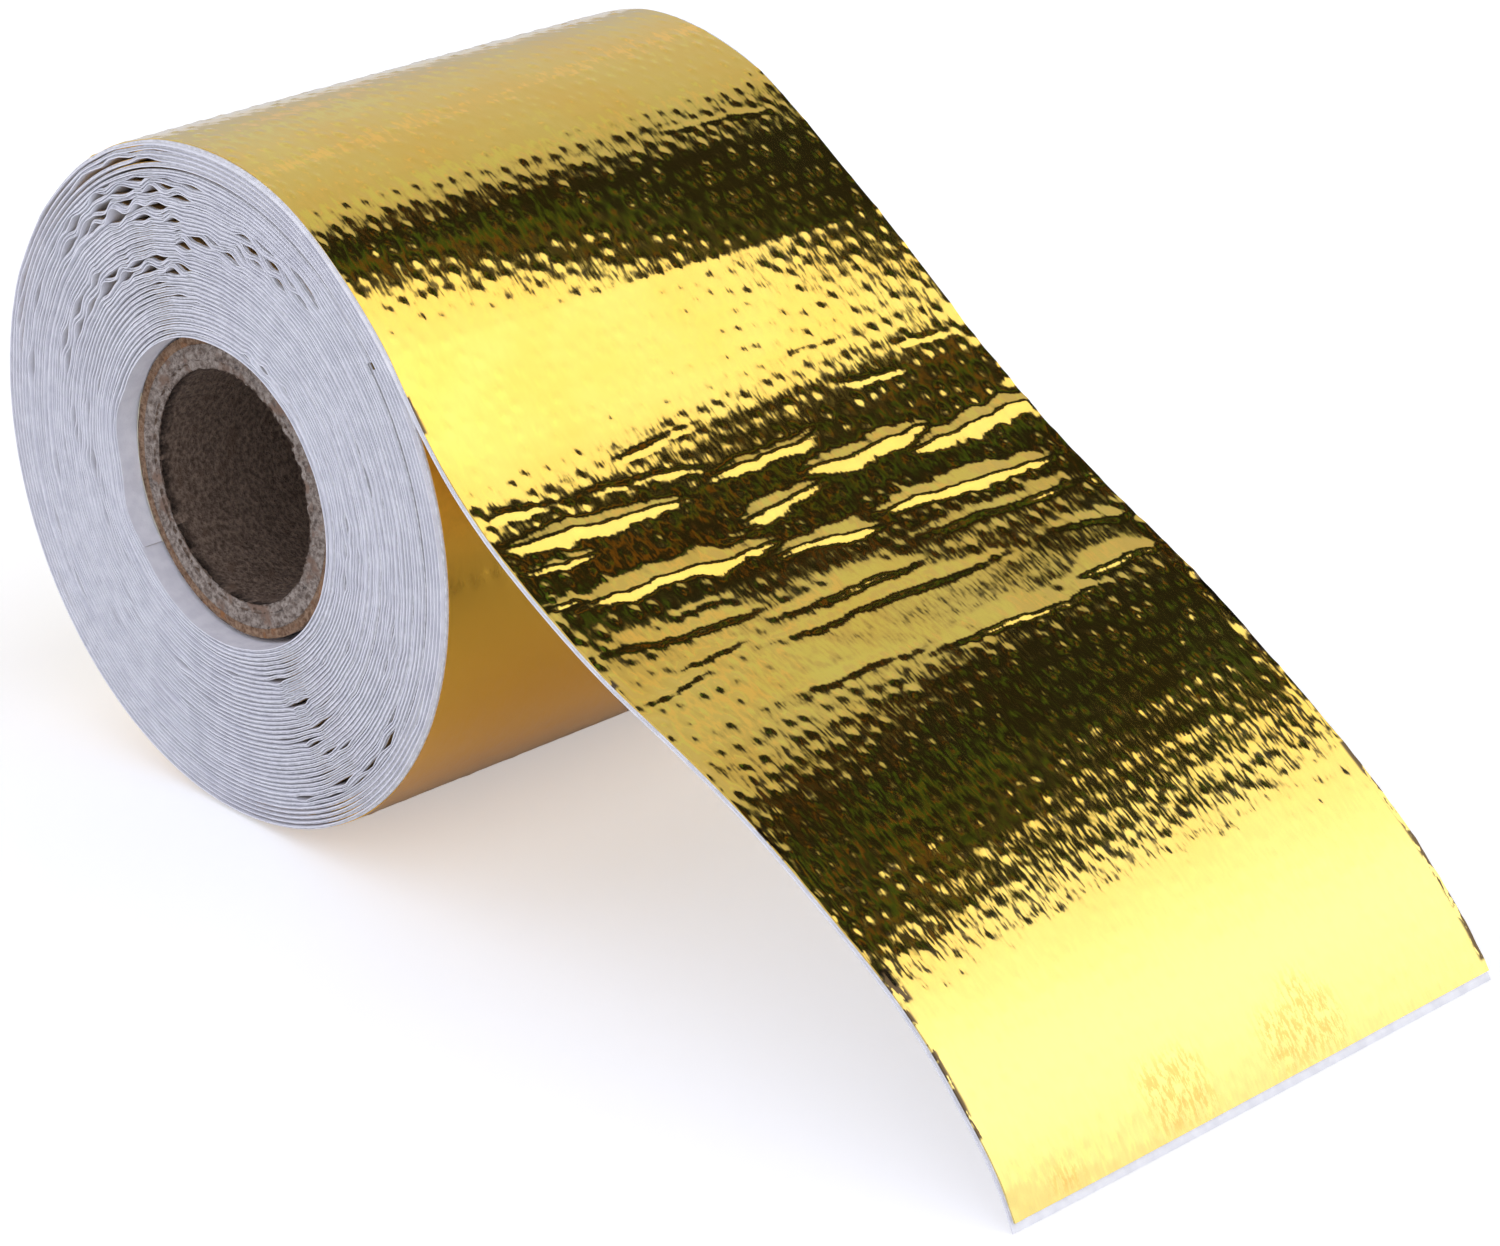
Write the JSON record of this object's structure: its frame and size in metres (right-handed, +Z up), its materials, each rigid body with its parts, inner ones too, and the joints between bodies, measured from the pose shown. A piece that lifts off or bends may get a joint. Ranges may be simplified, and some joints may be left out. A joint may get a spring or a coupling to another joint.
{
  "type": "adhesive tape roll",
  "caption": "Roll of gold metallised woven tape with a white release liner, wound on a paperboard core, its free end pulled out and drooping to the table.",
  "frame": {"origin": "on the core's axis, at the middle of the tape's width", "axes": "+Y along the core's bore, +X the way the free end points, +Z up"},
  "size_m": [0.1111, 0.05, 0.0542],
  "materials": {
    "gold_film": "mirror-bright metallised gold film, weave showing through",
    "glass_cloth": "plain-woven glass cloth",
    "adhesive": "clear tacky pressure-sensitive adhesive",
    "release_liner": "white siliconised paper",
    "core_board": "grey-brown speckled chipboard",
    "core_inner_board": "darker, rough chipboard",
    "core_glue": "dried adhesive strip"
  },
  "bodies": {
    "outer_wrap": {"wrap_film": "gold_film", "wrap_cloth": "glass_cloth", "wrap_adhesive": "adhesive", "wrap_liner": "release_liner"},
    "coil": {"core_inner_ply": "core_inner_board", "core_middle_ply": "core_board", "core_outer_ply": "core_board", "core_glue_strip": "core_glue", "coil_film": "gold_film", "coil_cloth": "glass_cloth", "coil_adhesive": "adhesive", "coil_liner": "release_liner"},
    "tail": {"tail_film": "gold_film", "tail_cloth": "glass_cloth", "tail_adhesive": "adhesive", "tail_liner": "release_liner"},
    "tape_tip": {"tip_film": "gold_film", "tip_cloth": "glass_cloth", "tip_adhesive": "adhesive"}
  },
  "joints": [
    {"name": "coil_turn", "type": "hinge", "parent": "outer_wrap", "child": "coil", "pos_m": [0, 0, 0], "axis": [0, 1, 0], "continuous": true},
    {"name": "tail_lift", "type": "hinge", "parent": "outer_wrap", "child": "tail", "pos_m": [0.02868, 0, 0.00918], "axis": [0, -1, 0], "range_deg": [-40, 70], "stiffness_Nm_per_rad": 0.01},
    {"name": "tip_peel", "type": "hinge", "parent": "tail", "child": "tape_tip", "pos_m": [0.06436, 0, -0.01022], "axis": [0, -1, 0], "range_deg": [0, 150]}
  ]
}
